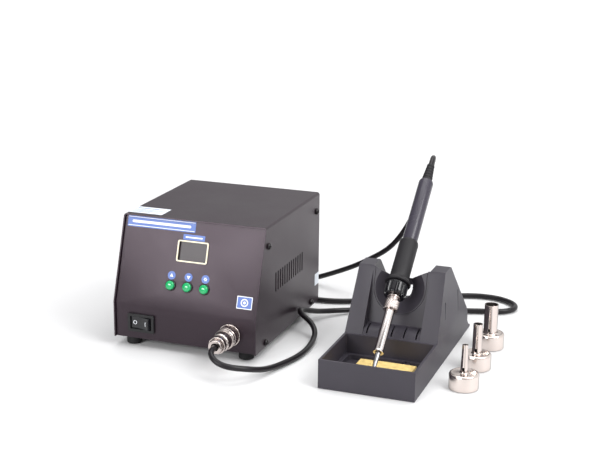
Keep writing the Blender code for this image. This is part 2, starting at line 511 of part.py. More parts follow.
hole = [(-DISH_HOLE_R, 3.6), (-DISH_HOLE_R, 0)] + hole[0:] + [(DISH_HOLE_R, 0), (DISH_HOLE_R, 3.6)]
boolean(cradle, cutter("cut_dish_hole", prism(new(), hole, "Z", -20, 10), CRADLE))
saddle = 9.0
boolean(cradle, cutter("cut_cradle_top", prism(new(), [(-40, 30), (-40, 17), (-21.5, 15.2), (-8.5, saddle), (8.5, saddle),
                                                         (21.5, 15.2), (40, 17), (40, 30)], "Z", -20, 12), CRADLE))

# ---------------------------------------------------------------- sponge
x0, y0, x1, y1, z0, z1 = SPONGE
node("sponge", prism(new(), rounded(x0, y0, x1, y1, 2.0, 3), "Z", z0, z1), SPONGEM, STAND, smooth=30)

# ---------------------------------------------------------------- iron
ca, sa = math.cos(math.radians(IRON_UP)), math.sin(math.radians(IRON_UP))
IRON = frame(STAND, "iron_frame", (STAND_MID, IRON_FOOT[0], IRON_FOOT[1]), (1, 0, 0), (0, -sa, ca), (0, ca, sa))
node("iron_tip", revolve(new(), [(0, -8.0), (0.45, -7.7), (1.6, 0), (2.25, 9.0), (2.25, 19.0), (3.2, 19.0), (3.2, 30.0), (0, 30.0)], 16),
     TIPMETAL, IRON, smooth=40)
node("iron_barrel", revolve(new(), [(2.6, 12.4), (3.9, 12.0), (4.35, 12.3), (4.35, 13.0), (3.85, 14.2), (3.85, 52.4), (3.85, 60.0),
                                    (3.5, 60.0), (3.5, 18.6), (2.6, 18.6)], 24), STEEL, IRON, smooth=40)
node("barrel_nut", revolve(new(), [(4.15, 52.4), (5.7, 52.4), (6.1, 52.9), (6.1, 60.4), (5.6, 61.0), (4.5, 61.4), (4.5, 63.6), (5.7, 63.9),
                                   (5.7, 65.4), (4.15, 65.4)], 28), NICKEL, IRON, smooth=40)
node("iron_core", revolve(new(), [(0, 60.3), (3.85, 60.3), (3.85, 66.0), (4.6, 66.0), (4.6, 77.5), (0, 77.5)], 16), BLACK, IRON, smooth=40)

# collar nut: turned body with ten flutes
collar = node("collar_nut", revolve(new(), [(4.9, 65.8), (7.6, 65.8), (8.9, 67.0), (9.45, 69.0), (9.45, 76.4), (8.9, 77.6), (4.9, 77.6)], 40),
              GLOSS, IRON, smooth=35)
bm = new()
for i in range(10):
    a = 2 * math.pi * i / 10
    prism(bm, circle(10.4 * math.cos(a), 10.4 * math.sin(a), 1.6, 8), "Z", 64, 76.2)
boolean(collar, cutter("cut_flutes", bm, IRON))

grip = [(0, 78.0), (10.4, 78.0), (10.9, 78.5), (10.9, 79.9), (10.4, 80.6), (8.9, 81.6), (8.2, 83.2), (8.15, 118.6), (7.4, 120.6),
        (6.7, 120.6), (6.7, 110.3), (0, 110.3)]
node("iron_grip", revolve(new(), grip, 28), GRIP, IRON, smooth=40)
node("iron_handle", revolve(new(), [(0, 110.6), (6.4, 110.6), (6.4, 183.6), (5.6, 185.2), (4.9, 185.2), (4.9, 175.3), (0, 175.3)], 28), TUBE, IRON, smooth=40)
relief = [(0, 175.6), (4.6, 175.6), (4.6, 186.0)]
for i in range(5):
    h = 187.2 + 3.0 * i
    r = 4.6 - 0.26 * i
    relief += [(r, h), (r - 0.55, h + 0.5), (r - 0.55, h + 1.0), (r - 0.1, h + 1.4)]
relief += [(3.35, 202.6), (3.1, 203.0), (2.7, 203.0), (2.7, 190.0), (0, 190.0)]
node("strain_relief", revolve(new(), relief, 20), GRIP, IRON, smooth=40)

# ---------------------------------------------------------------- nozzles
for name, ((x, y), rt, rb, h) in NOZZLES.items():
    R, Hn, t = NOZZLE_R, NOZZLE_H, NOZZLE_T
    prof = [(R - t, 0), (R, 0), (R, Hn - 1.6), (R - 0.5, Hn - 0.5), (R - 1.5, Hn), (R - 2.2, Hn - 0.3), (rb + 0.5, Hn - 0.3),
            (rb, Hn + 0.4), (rt, h - 0.5), (rt, h), (rt - 0.6, h), (rb - 0.7, Hn + 0.4), (rb - 0.7, Hn - 1.3), (R - 2.0, Hn - 1.3), (R - t, Hn - 2.4)]
    o = node("nozzle_" + name, revolve(new(), prof, 28), NICKEL, ORIGIN, at(x, y, 0), smooth=40)
    # slot through the tube's wall, just above its foot, facing the front
    boolean(o, cutter("cut_slot_" + name, box(new(), -0.8, -rb - 2, Hn + 0.9, 0.8, -rb + 1.4, Hn + 4.6), ORIGIN, at(x, y, 0)))

# ---------------------------------------------------------------- cord
def bspline(points, steps):
    """Points along a uniform cubic B-spline that starts and ends at the first and last point."""
    q = [Vector(p) for p in points]
    q = [2 * q[0] - q[1]] + q + [2 * q[-1] - q[-2]]
    line = []
    for i in range(len(points) - 1):
        a, b, c, d = q[i:i + 4]
        for k in range(steps):
            f = k / steps
            line.append((a * (1 - f) ** 3 + b * (3 * f ** 3 - 6 * f ** 2 + 4) + c * (-3 * f ** 3 + 3 * f ** 2 + 3 * f + 1) + d * f ** 3) / 6)
    return line + [Vector(points[-1])]


line = bspline(CORD_ROUTE, 1)
cu = bpy.data.curves.new("iron_cord", "CURVE")
cu.dimensions = "3D"
cu.bevel_depth = CORD_R * 0.001
cu.bevel_resolution = 2
cu.use_fill_caps = True
cu.resolution_u = 1
sp = cu.splines.new("POLY")
sp.points.add(len(line) - 1)
for p, q in zip(sp.points, line):
    p.co = (*(q * 0.001), 1)
cu.materials.append(CORDM)
cord = bpy.data.objects.new("iron_cord", cu)
SCENE.objects.link(cord)
cord.parent = ORIGIN
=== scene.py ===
"""Looks for the soldering and hot air bench set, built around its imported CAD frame."""
import json
import math

import bmesh
import bpy
import numpy as np
from mathutils import Matrix, Vector


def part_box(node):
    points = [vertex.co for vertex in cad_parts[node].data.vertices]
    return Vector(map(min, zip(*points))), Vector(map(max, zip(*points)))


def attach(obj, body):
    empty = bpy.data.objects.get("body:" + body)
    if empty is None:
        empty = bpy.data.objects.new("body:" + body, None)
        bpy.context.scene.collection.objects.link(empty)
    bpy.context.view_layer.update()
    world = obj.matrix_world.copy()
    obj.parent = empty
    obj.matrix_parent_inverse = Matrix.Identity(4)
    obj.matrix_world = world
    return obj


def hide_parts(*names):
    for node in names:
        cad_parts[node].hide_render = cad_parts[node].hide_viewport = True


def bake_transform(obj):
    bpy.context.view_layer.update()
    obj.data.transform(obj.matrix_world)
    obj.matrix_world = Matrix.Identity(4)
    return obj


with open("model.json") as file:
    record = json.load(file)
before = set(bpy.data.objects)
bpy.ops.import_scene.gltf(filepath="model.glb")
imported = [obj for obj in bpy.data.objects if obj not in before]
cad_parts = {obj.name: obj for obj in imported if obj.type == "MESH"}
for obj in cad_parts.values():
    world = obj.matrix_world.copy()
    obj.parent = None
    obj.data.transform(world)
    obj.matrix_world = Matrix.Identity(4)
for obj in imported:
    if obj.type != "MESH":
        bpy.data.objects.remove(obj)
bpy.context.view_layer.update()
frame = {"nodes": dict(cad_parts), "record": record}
NODES = frame["nodes"]
RECORD = frame["record"]
BODY = {n: b for b, ns in RECORD["behaviour"]["bodies"].items() for n in ns}
SLOT = {s["node"]: s["material_slot"] for s in RECORD["subparts"]}
SCENE = bpy.context.scene
COLL = SCENE.collection

# the control unit's front left corner, on the bench: all positions below are millimetres from it
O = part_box("top_cover")[0].copy()
O.z = 0.0


def mm(x, y, z):
    return Vector((x, y, z)) * 0.001


def P(x, y, z):
    return O + mm(x, y, z)


def frame_at(at, x, y, z):
    m = Matrix((Vector(x).normalized(), Vector(y).normalized(), Vector(z).normalized())).transposed().to_4x4()
    m.translation = P(*at)
    return m


# ------------------------------------------------------------------ camera
yaw, pitch, roll = math.radians(20.005), math.radians(15.738), math.radians(0.612)
fwd = Vector((-math.sin(yaw) * math.cos(pitch), math.cos(yaw) * math.cos(pitch), -math.sin(pitch)))
right = Vector((math.cos(yaw), math.sin(yaw), 0))
up = right.cross(fwd)
r2 = right * math.cos(roll) + up * math.sin(roll)
u2 = -right * math.sin(roll) + up * math.cos(roll)
cam = bpy.data.cameras.new("camera")
cam.sensor_width = 36.0
cam.lens = 78.66
cam.clip_start, cam.clip_end = 0.01, 50
co = bpy.data.objects.new("camera", cam)
m = Matrix((r2, u2, -fwd)).transposed().to_4x4()
m.translation = P(508.43, -935.87, 399.54)
co.matrix_world = m
COLL.objects.link(co)
SCENE.camera = co


# ------------------------------------------------------------------ materials
def mat(name, col, rough, metal=0.0, coat=0.0, coat_rough=0.1, grain=None, tint=0.12, tscale=60.0, rvar=0.05,
        streak=None, ior=1.5, fine=None, spec=0.5, painted_reflection=None, stint=None):
    """A Principled material: colour and roughness that wander a little, and a fine surface grain.
    grain is (scale, strength, distance in m); fine a second, coarser one; streak stretches the wander along Z."""
    mt = bpy.data.materials.new(name)
    mt.use_nodes = True
    nt = mt.node_tree
    n, l = nt.nodes, nt.links
    b = n["Principled BSDF"]
    b.inputs["Metallic"].default_value = metal
    b.inputs["Coat Weight"].default_value = coat
    b.inputs["Coat Roughness"].default_value = coat_rough
    b.inputs["IOR"].default_value = ior
    b.inputs["Specular IOR Level"].default_value = spec
    if stint:
        b.inputs["Specular Tint"].default_value = (*stint, 1)
    tc = n.new("ShaderNodeTexCoord")
    big = n.new("ShaderNodeTexNoise")
    big.inputs["Scale"].default_value = tscale
    big.inputs["Detail"].default_value = 4
    if streak:
        mp = n.new("ShaderNodeMapping")
        mp.inputs["Scale"].default_value = streak
        l.new(tc.outputs["Object"], mp.inputs["Vector"])
        l.new(mp.outputs["Vector"], big.inputs["Vector"])
    else:
        l.new(tc.outputs["Object"], big.inputs["Vector"])
    cr = n.new("ShaderNodeValToRGB")
    lo = [max(0, c * (1 - tint)) for c in col]
    hi = [min(1, c * (1 + tint)) for c in col]
    cr.color_ramp.elements[0].position, cr.color_ramp.elements[1].position = 0.3, 0.7
    cr.color_ramp.elements[0].color = (*lo, 1)
    cr.color_ramp.elements[1].color = (*hi, 1)
    l.new(big.outputs["Fac"], cr.inputs["Fac"])
    if painted_reflection:
        # painted reflection: polished turned metal has its base colour darkened and lightened round the curve by the
        # layer weight facing, standing in for the dark and bright surroundings it reflects
        lw = n.new("ShaderNodeLayerWeight")
        lw.inputs["Blend"].default_value = 0.5
        fr = n.new("ShaderNodeValToRGB")
        fr.color_ramp.interpolation = "EASE"
        while len(fr.color_ramp.elements) < len(painted_reflection):
            fr.color_ramp.elements.new(0.5)
        for e, (pos, v) in zip(fr.color_ramp.elements, painted_reflection):
            e.position, e.color = pos, (v, v, v, 1)
        l.new(lw.outputs["Facing"], fr.inputs["Fac"])
        mx = n.new("ShaderNodeMix")
        mx.data_type, mx.blend_type = "RGBA", "MULTIPLY"
        mx.inputs["Factor"].default_value = 1.0
        l.new(cr.outputs["Color"], mx.inputs[6])
        l.new(fr.outputs["Color"], mx.inputs[7])
        l.new(mx.outputs[2], b.inputs["Base Color"])
    else:
        l.new(cr.outputs["Color"], b.inputs["Base Color"])
    mr = n.new("ShaderNodeMapRange")
    mr.inputs["From Min"].default_value, mr.inputs["From Max"].default_value = 0.3, 0.7
    mr.inputs["To Min"].default_value, mr.inputs["To Max"].default_value = max(0.02, rough - rvar), min(1, rough + rvar)
    l.new(big.outputs["Fac"], mr.inputs["Value"])
    l.new(mr.outputs["Result"], b.inputs["Roughness"])
    last = None
    for g in (fine, grain):
        if g:
            nz = n.new("ShaderNodeTexNoise")
            nz.inputs["Scale"].default_value = g[0]
            nz.inputs["Detail"].default_value = 3
            l.new(tc.outputs["Object"], nz.inputs["Vector"])
            bp = n.new("ShaderNodeBump")
            bp.inputs["Strength"].default_value = g[1]
            bp.inputs["Distance"].default_value = g[2]
            l.new(nz.outputs["Fac"], bp.inputs["Height"])
            if last:
                l.new(last.outputs["Normal"], bp.inputs["Normal"])
            last = bp
    if last:
        l.new(last.outputs["Normal"], b.inputs["Normal"])
    return mt


# painted reflection ramps: (facing, brightness) pairs that darken and lighten the base colour of the polished metals
# round their curves
PAINTED_REFLECTION_CUP = ((0.0, 0.88), (0.25, 1.0), (0.62, 0.95), (0.80, 0.40), (0.92, 0.30), (1.0, 0.60))
PAINTED_REFLECTION_BARREL = ((0.0, 0.20), (0.150, 0.24), (0.200, 0.95), (0.42, 1.0), (0.62, 0.75), (0.80, 0.25), (1.0, 0.45))
PAINTED_REFLECTION_CURVE = ((0.0, 0.62), (0.10, 0.70), (0.26, 1.0), (0.60, 0.88), (0.80, 0.42), (1.0, 0.60))
PAINTED_REFLECTION_TUBE = ((0.0, 0.22), (0.040, 0.34), (0.075, 1.0), (0.50, 0.95), (0.72, 0.22), (1.0, 0.40))
M = {
    "powder_coat": mat("powder_coat_look", (0.0170, 0.0108, 0.0150), 0.33, grain=(2600, 0.35, 0.00012), fine=(700, 0.12, 0.0002), tint=0.10, tscale=25, rvar=0.03, spec=0.37, stint=(1.0, 0.86, 0.96)),
    "black_plastic": mat("black_plastic_look", (0.010, 0.010, 0.011), 0.36, grain=(1800, 0.2, 0.00008), spec=0.35),
    "gloss_black": mat("gloss_black_look", (0.006, 0.006, 0.008), 0.13, coat=0.2, grain=(900, 0.06, 0.00005), tint=0.15, spec=0.4),
    "screw_steel": mat("screw_look", (0.030, 0.028, 0.029), 0.28, metal=0.9, grain=(1500, 0.15, 0.00006)),
    "foot_rubber": mat("foot_rubber_look", (0.008, 0.008, 0.009), 0.62, grain=(1200, 0.35, 0.00012), spec=0.3),
    "cream_frame": mat("cream_frame_look", (0.74, 0.67, 0.50), 0.32, grain=(1200, 0.08, 0.00005), tint=0.03),
    "dark_window": mat("dark_window_look", (0.022, 0.014, 0.018), 0.33, coat=0.03, coat_rough=0.05, tint=0.2, rvar=0.02, spec=0.36, grain=(300, 0.02, 0.0001)),
    "green_button": mat("green_button_look", (0.006, 0.36, 0.115), 0.17, coat=0.5, coat_rough=0.06, tint=0.06, grain=(700, 0.05, 0.00005)),
    "nickel": mat("nickel_look", (0.66, 0.585, 0.555), 0.18, metal=1.0, grain=(500, 0.03, 0.00005), tint=0.04, rvar=0.015, painted_reflection=PAINTED_REFLECTION_CURVE),
    # painted light: the nozzle cup and its tube are one metal, given two copies with different painted reflection
    # ramps, the tube's copy a little darker
    "nozzle": mat("nozzle_look", (0.77, 0.685, 0.64), 0.20, metal=1.0, grain=(350, 0.04, 0.00006), tint=0.04, rvar=0.02, streak=(1, 1, 0.15), painted_reflection=PAINTED_REFLECTION_CUP),
    "nozzle_tube": mat("nozzle_tube_look", (0.74, 0.655, 0.615), 0.17, metal=1.0, grain=(350, 0.04, 0.00006), tint=0.04, rvar=0.02, streak=(1, 1, 0.15), painted_reflection=PAINTED_REFLECTION_TUBE),
    # painted shade: near-black metal for the inside of the nozzle bores, where shade falls
    "nozzle_bore": mat("nozzle_bore_look", (0.10, 0.085, 0.080), 0.45, metal=1.0, grain=(500, 0.1, 0.0001), tint=0.2),
    "barrel_steel": mat("barrel_look", (0.80, 0.74, 0.72), 0.17, metal=1.0, grain=(900, 0.03, 0.00003), tint=0.04, rvar=0.015, painted_reflection=PAINTED_REFLECTION_BARREL),
    "tip_metal": mat("tip_look", (0.36, 0.36, 0.38), 0.34, metal=1.0, grain=(1500, 0.25, 0.00010), tint=0.15, tscale=300),
    "board": mat("board_look", (0.02, 0.14, 0.05), 0.4, grain=(800, 0.2, 0.0001)),
    "core_steel": mat("core_look", (0.13, 0.13, 0.14), 0.45, metal=0.8, streak=(1, 60, 1), tint=0.4, grain=(600, 0.2, 0.0001)),
    "coil_tape": mat("coil_look", (0.62, 0.48, 0.10), 0.35, grain=(500, 0.2, 0.0001)),
    "stand_plastic": mat("stand_look", (0.037, 0.033, 0.043), 0.46, grain=(1500, 0.30, 0.00010), fine=(350, 0.10, 0.0002), tint=0.08, tscale=22, rvar=0.03, spec=0.38),
    "grip_rubber": mat("grip_look", (0.011, 0.010, 0.012), 0.55, grain=(1600, 0.30, 0.00010), tint=0.1, spec=0.3),
    "handle_plastic": mat("handle_look", (0.032, 0.028, 0.042), 0.27, coat=0.10, grain=(1200, 0.04, 0.00004), tint=0.03, rvar=0.008, spec=0.4),
    "cord_rubber": mat("cord_look", (0.0085, 0.0068, 0.0085), 0.30, grain=(900, 0.15, 0.00010), tint=0.1, rvar=0.02, spec=0.30),
    "label_blue": mat("label_blue_look", (0.045, 0.115, 0.40), 0.35, grain=(1200, 0.06, 0.00004), tint=0.06),
    "label_white": mat("label_white_look", (0.74, 0.76, 0.80), 0.40, grain=(1200, 0.06, 0.00004), tint=0.02),
    "label_cream": mat("label_cream_look", (0.80, 0.74, 0.50), 0.40, grain=(1200, 0.06, 0.00004), tint=0.02),
    "paper_white": mat("paper_white_look", (0.70, 0.74, 0.80), 0.50, grain=(500, 0.25, 0.00010), tint=0.02),
}


# ------------------------------------------------------------------ shape helpers
def obj_from_bm(bm, name, material, smooth=None):
    bmesh.ops.recalc_face_normals(bm, faces=bm.faces)
    me = bpy.data.meshes.new(name)
    bm.to_mesh(me)
    bm.free()
    me.materials.append(material)
    if smooth is not None:
        me.shade_smooth()
        me.set_sharp_from_angle(angle=math.radians(smooth))
    o = bpy.data.objects.new(name, me)
    COLL.objects.link(o)
    return o


def bake(o):
    """Applies o's modifiers."""
    bpy.context.view_layer.update()
    dg = bpy.context.evaluated_depsgraph_get()
    me = bpy.data.meshes.new_from_object(o.evaluated_get(dg))
    old = o.data
    o.modifiers.clear()
    o.data = me
    if old.users == 0:
        bpy.data.meshes.remove(old)
    return o


def bevel(o, width, segments=2, angle=30, normals=True):
    b = o.modifiers.new("bevel", "BEVEL")
    b.width = width * 0.001
    b.segments = segments
    b.limit_method = "ANGLE"
    b.angle_limit = math.radians(angle)
    b.use_clamp_overlap = True
    b.harden_normals = False
    b.miter_outer = "MITER_ARC"
    if normals:
        o.data.shade_smooth()
        w = o.modifiers.new("wn", "WEIGHTED_NORMAL")
        w.keep_sharp = True
        w.weight = 60
    return o


def swap(o, *nodes, material_slot=None):
    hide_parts(*nodes)
    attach(o, BODY[nodes[0]])
    return o


def refined(node, material, width, segments=2, angle=28, join=True):
    """A copy of a CAD node with its flat faces joined and its edges rounded."""
    bm = bmesh.new()
    bm.from_mesh(NODES[node].data)
    bmesh.ops.remove_doubles(bm, verts=bm.verts, dist=2e-6)
    if join:
        bmesh.ops.dissolve_limit(bm, angle_limit=math.radians(0.6), verts=bm.verts, edges=bm.edges)
    o = obj_from_bm(bm, node + "_look", material)
    bevel(o, width, segments, angle)
    return swap(bake(o), node)


def prism(bm, pts, axis, lo, hi):
    def place(a, b, c):
        return mm(*{"X": (c, a, b), "Y": (a, c, b), "Z": (a, b, c)}[axis])
    face = bm.faces.new([bm.verts.new(place(a, b, lo)) for a, b in pts])
    out = bmesh.ops.extrude_face_region(bm, geom=[face])
    bmesh.ops.translate(bm, verts=[g for g in out["geom"] if isinstance(g, bmesh.types.BMVert)], vec=place(0, 0, hi - lo))
    return bm


def arc(cx, cy, r, a0, a1, n):
    return [(cx + r * math.cos(math.radians(a0 + (a1 - a0) * i / n)),
             cy + r * math.sin(math.radians(a0 + (a1 - a0) * i / n))) for i in range(n + 1)]


def rounded(x0, y0, x1, y1, r, n=6):
    return (arc(x1 - r, y0 + r, r, -90, 0, n) + arc(x1 - r, y1 - r, r, 0, 90, n)
            + arc(x0 + r, y1 - r, r, 90, 180, n) + arc(x0 + r, y0 + r, r, 180, 270, n))


def densify(profile, step):
    """Points no further apart than step along a closed outline."""
    out = []
    for (r0, h0), (r1, h1) in zip(profile, profile[1:] + profile[:1]):
        k = max(1, int(math.hypot(r1 - r0, h1 - h0) / step))
        out += [(r0 + (r1 - r0) * i / k, h0 + (h1 - h0) * i / k) for i in range(k)]
    return out


def lathe(name, profile, material, matrix, steps=72, wave=None, step=None, soft=0.25, smooth=50):
    """A turned solid about local Z from a closed (radius, height) outline in mm, with its corners eased.
    wave(angle, height, radius) gives a change of radius, for knurls and flutes."""
    pts = []
    n = len(profile)
    for i in range(n):
        a, b, c = Vector(profile[i - 1]), Vector(profile[i]), Vector(profile[(i + 1) % n])
        da, dc = (a - b), (c - b)
        s = min(soft, da.length * 0.4, dc.length * 0.4)
        if b.x < 1e-6 or s < 0.02:
            pts.append((b.x, b.y))
            continue
        p, q = b + da.normalized() * s, b + dc.normalized() * s
        for t in (0, 0.33, 0.67, 1):
            w = p * (1 - t) ** 2 + b * 2 * t * (1 - t) + q * t * t
            pts.append((w.x, w.y))
    if step:
        pts = densify(pts, step)
    bm = bmesh.new()
    rings = []
    for r, h in pts:
        if r < 1e-6:
            rings.append([bm.verts.new(mm(0, 0, h))])
            continue
        ring = []
        for i in range(steps):
            t = 2 * math.pi * i / steps
            rr = r + (wave(t, h, r) if wave else 0)
            ring.append(bm.verts.new(mm(rr * math.cos(t), rr * math.sin(t), h)))
        rings.append(ring)
    for a, b in zip(rings, rings[1:] + rings[:1]):
        if len(a) == 1 and len(b) == 1:
            continue
        for i in range(steps):
            j = (i + 1) % steps
            if len(a) == 1:
                bm.faces.new((a[0], b[i], b[j]))
            elif len(b) == 1:
                bm.faces.new((a[i], b[0], a[j]))
            else:
                bm.faces.new((a[i], b[i], b[j], a[j]))
    bmesh.ops.remove_doubles(bm, verts=bm.verts, dist=1e-7)
    o = obj_from_bm(bm, name, material, smooth)
    o.matrix_world = matrix
    return o


def flat_piece(name, polys, material, matrix, z0, z1, body="station", eased=0.0):
    """Thin printed shapes that share one object: outlines in mm in a local plane."""
    bm = bmesh.new()
    for p in polys:
        prism(bm, p, "Z", z0, z1)
    o = obj_from_bm(bm, name, material)
    o.matrix_world = matrix
    if eased:
        bevel(o, eased, 2, 40)
        bake(o)
    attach(o, body)
    return o


def cut(o, bm, matrix):
    c = obj_from_bm(bm, "cut_tmp", M["nickel"])
    c.matrix_world = matrix
    b = o.modifiers.new("cut", "BOOLEAN")
    b.operation = "DIFFERENCE"
    b.solver = "EXACT"
    b.object = c
    bake(o)
    bpy.data.objects.remove(c)
    return o


def at(x, y, z):
    return Matrix.Translation(P(x, y, z))


# ------------------------------------------------------------------ the cord
CORD_ROUTE = [
    (106.4, -22, 22.3), (106.4, -29.4, 22.4), (106.4, -37, 22), (109.5, -43.6, 19.5), (116, -46.6, 16.3), (123.8, -45.8, 14),
    (131.8, -41.6, 12.3), (139.8, -34.4, 10.1), (145.9, -18.6, 4.5), (152.7, 5.1, 2.5), (159.6, 28.2, 2.6), (159.1, 52.6, 2.5),
    (156.9, 66.5, 3.2), (155.5, 75.6, 5.9), (150.9, 81.7, 10.2), (144.9, 84.9, 13.7), (138.2, 87.7, 16.3), (133.6, 94.1, 17.2),
    (132.8, 101.8, 15.7), (135.8, 109, 13), (138.8, 117.2, 9.9), (142.8, 129.6, 6.1), (157.8, 147.8, 3.4), (179, 160.1, 2.5),
    (201.5, 167.6, 2.5), (223.8, 176.4, 2.5), (245.7, 184.7, 2.5), (269.6, 193.3, 2.5), (286.7, 197.9, 2.5), (295.4, 201.7, 2.5),
    (301.8, 208.9, 2.5), (303.2, 217.8, 2.5), (299.1, 226.1, 2.5), (291.4, 232.5, 2.5), (280.5, 237.6, 2.5), (262.3, 238.4, 2.5),
    (239.6, 228.5, 2.5), (219.5, 215.6, 2.5), (198.9, 203.8, 2.5), (178.9, 190.7, 2.5), (158.7, 178, 2.5), (136.4, 169.4, 2.5),
    (111.3, 168.7, 2.5), (92.7, 175.1, 2.5), (82.5, 184.4, 2.5), (77.4, 195.9, 2.5), (78.7, 207.8, 2.5), (86.3, 217, 3),
    (97.8, 221.2, 4.6), (110, 219.5, 8.6), (128.3, 212.8, 17.6), (149.5, 205.5, 28.3), (168.6, 199.1, 40.5), (187.8, 192.7, 53.7),
    (202, 190.5, 74), (211.8, 188, 94), (219.6, 183.5, 116), (225.4, 179, 132.5), (228.8, 174.4, 142), (231.3, 168.4, 148.2),
    (233, 160.9, 150.6), (233.5, 153.4, 147.4), (233.4, 147.7, 142.3), (233.4, 141.9, 137.6),
]
CORD_R = 2.4


def bspline(points, steps):
    q = [Vector(p) for p in points]
    q = [2 * q[0] - q[1]] + q + [2 * q[-1] - q[-2]]
    line = []
    for i in range(len(points) - 1):
        a, b, c, d = q[i:i + 4]
        for k in range(steps):
            f = k / steps
            line.append((a * (1 - f) ** 3 + b * (3 * f ** 3 - 6 * f ** 2 + 4) + c * (-3 * f ** 3 + 3 * f ** 2 + 3 * f + 1) + d * f ** 3) / 6)
    return line + [Vector(points[-1])]


dense = np.array(bspline(CORD_ROUTE, 24))
gone = np.r_[0, np.cumsum(np.linalg.norm(np.diff(dense, axis=0), axis=1))]
CORD_LEN = gone[-1]
count = int(CORD_LEN / 1.6)
even = np.array([[np.interp(s, gone, dense[:, i]) for i in range(3)] for s in np.linspace(0, CORD_LEN, count)])
tang = np.gradient(even, axis=0)
tang /= np.linalg.norm(tang, axis=1)[:, None]
bm = bmesh.new()
side = Vector((1, 0, 0))
rings = []
SIDES = 24
for p, t in zip(even, tang):
    t = Vector(t)
    side = (side - t * side.dot(t)).normalized()
    other = t.cross(side)
    rings.append([bm.verts.new(P(*p) + (side * math.cos(2 * math.pi * k / SIDES) + other * math.sin(2 * math.pi * k / SIDES)) * CORD_R * 0.001) for k in range(SIDES)])
for a, b in zip(rings, rings[1:]):
    for k in range(SIDES):
        bm.faces.new((a[k], b[k], b[(k + 1) % SIDES], a[(k + 1) % SIDES]))
bm.faces.new(rings[0][::-1])
bm.faces.new(rings[-1])
cord = obj_from_bm(bm, "iron_cord_look", M["cord_rubber"], 60)
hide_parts("iron_cord")
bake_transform(cord)


# ------------------------------------------------------------------ control unit
refined("top_cover", M["powder_coat"], 0.2, 2, 28, join=False)
refined("base_chassis", M["powder_coat"], 0.15, 1, 28, join=False)

slope_len = math.hypot(71.5, 23.5)
pu = Vector((0, 23.5 / slope_len, 71.5 / slope_len))
pn = Vector((0, -pu.z, pu.y))
panel_pos = Vector((0, 0, 39.0)) - pn * 2.0
PANEL = frame_at(panel_pos, (1, 0, 0), pu, pn)
BUTTON_X, BUTTON_S, BR = (50.0, 65.4, 80.8), 19.2, 3.85


def on_panel(x, s, z=0):
    return PANEL @ Matrix.Translation(mm(x, s, z))


dome = [(BR * math.cos(math.radians(a)), 1.7 + 1.7 * math.sin(math.radians(a))) for a in range(6, 90, 7)]
cap = [(0, -7.9), (1.6, -7.9), (1.6, -3.2), (BR + 1.0, -3.2), (BR + 1.0, -2.5), (BR, -2.5), (BR, 1.7)] + dome + [(0, 3.4)]
bush = [(BR + 0.25, -1.9), (BR + 0.6, -1.9), (BR + 0.6, 0.3), (BR + 1.0, 0.3), (BR + 1.0, 0.8), (BR + 0.75, 1.1), (BR + 0.25, 1.1)]
for i, x in enumerate(BUTTON_X):
    swap(lathe("button_%d_look" % (i + 1), cap, M["green_button"], on_panel(x, BUTTON_S), 56, soft=0.12), "button_%d" % (i + 1))
    swap(lathe("button_bush_%d_look" % (i + 1), bush, M["black_plastic"], on_panel(x, BUTTON_S), 56, soft=0.12), "button_bush_%d" % (i + 1))

refined("display_bezel", M["cream_frame"], 0.25, 3, 30)
refined("display_window", M["dark_window"], 0.1, 1, 30)

# printed marks: plain shapes, no lettering
BLUE, WHITE = M["label_blue"], M["label_white"]
flat_piece("title_label", [rounded(3.8, 64.9, 66.7, 74.3, 0.6)], BLUE, PANEL, 0.02, 0.12)
marks = [rounded(4.5, 72.9, 66.0, 73.4, 0.1, 2), rounded(4.5, 65.7, 66.0, 66.2, 0.1, 2), rounded(8.0, 68.4, 62.5, 70.6, 1.0, 4)]
flat_piece("title_label_marks", marks, WHITE, PANEL, 0.10, 0.16)
flat_piece("display_label", [rounded(56.5, 58.5, 76.2, 63.2, 0.4)], BLUE, PANEL, 0.02, 0.12)
flat_piece("display_label_marks", [rounded(58.6, 60.3, 74.1, 61.4, 0.5, 3)], WHITE, PANEL, 0.10, 0.16)
for i, x in enumerate((50.0, 65.5, 80.9)):
    flat_piece("icon_disc_%d" % (i + 1), [arc(x, 27.6, 3.55, 0, 351, 39)], BLUE, PANEL, 0.02, 0.12)
flat_piece("icon_up", [[(48.35, 26.5), (51.65, 26.5), (50.0, 29.4)]], WHITE, PANEL, 0.10, 0.16)
flat_piece("icon_down", [[(63.85, 28.7), (65.5, 25.8), (67.15, 28.7)]], WHITE, PANEL, 0.10, 0.16)
star = [((1.9 if k % 2 == 0 else 0.95) * math.cos(math.pi * k / 6 + 0.26) + 80.9, (1.9 if k % 2 == 0 else 0.95) * math.sin(math.pi * k / 6 + 0.26) + 27.6) for k in range(12)]
flat_piece("icon_set", [star], WHITE, PANEL, 0.10, 0.16)
flat_piece("icon_set_dot", [arc(80.9, 27.6, 0.55, 0, 340, 17)], BLUE, PANEL, 0.15, 0.19)
flat_piece("corner_label", [rounded(111.0, 7.3, 124.7, 17.8, 0.5)], WHITE, PANEL, 0.02, 0.12)
flat_piece("corner_label_field", [rounded(111.7, 8.0, 124.0, 17.1, 0.4)], BLUE, PANEL, 0.10, 0.16)
ring = lathe("corner_label_ring", [(2.3, 0.15), (3.3, 0.15), (3.3, 0.20), (2.3, 0.20)], WHITE, on_panel(117.85, 12.55), 40, soft=0.0)
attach(ring, "station")
flat_piece("corner_label_dot", [arc(117.85, 12.55, 1.2, 0, 342, 19)], WHITE, PANEL, 0.15, 0.20)
TOPM = at(0, 0, 110.5)
flat_piece("top_label", [rounded(1.0, 28.5, 33.0, 47.5, 0.8)], M["paper_white"], TOPM, 0.01, 0.12)
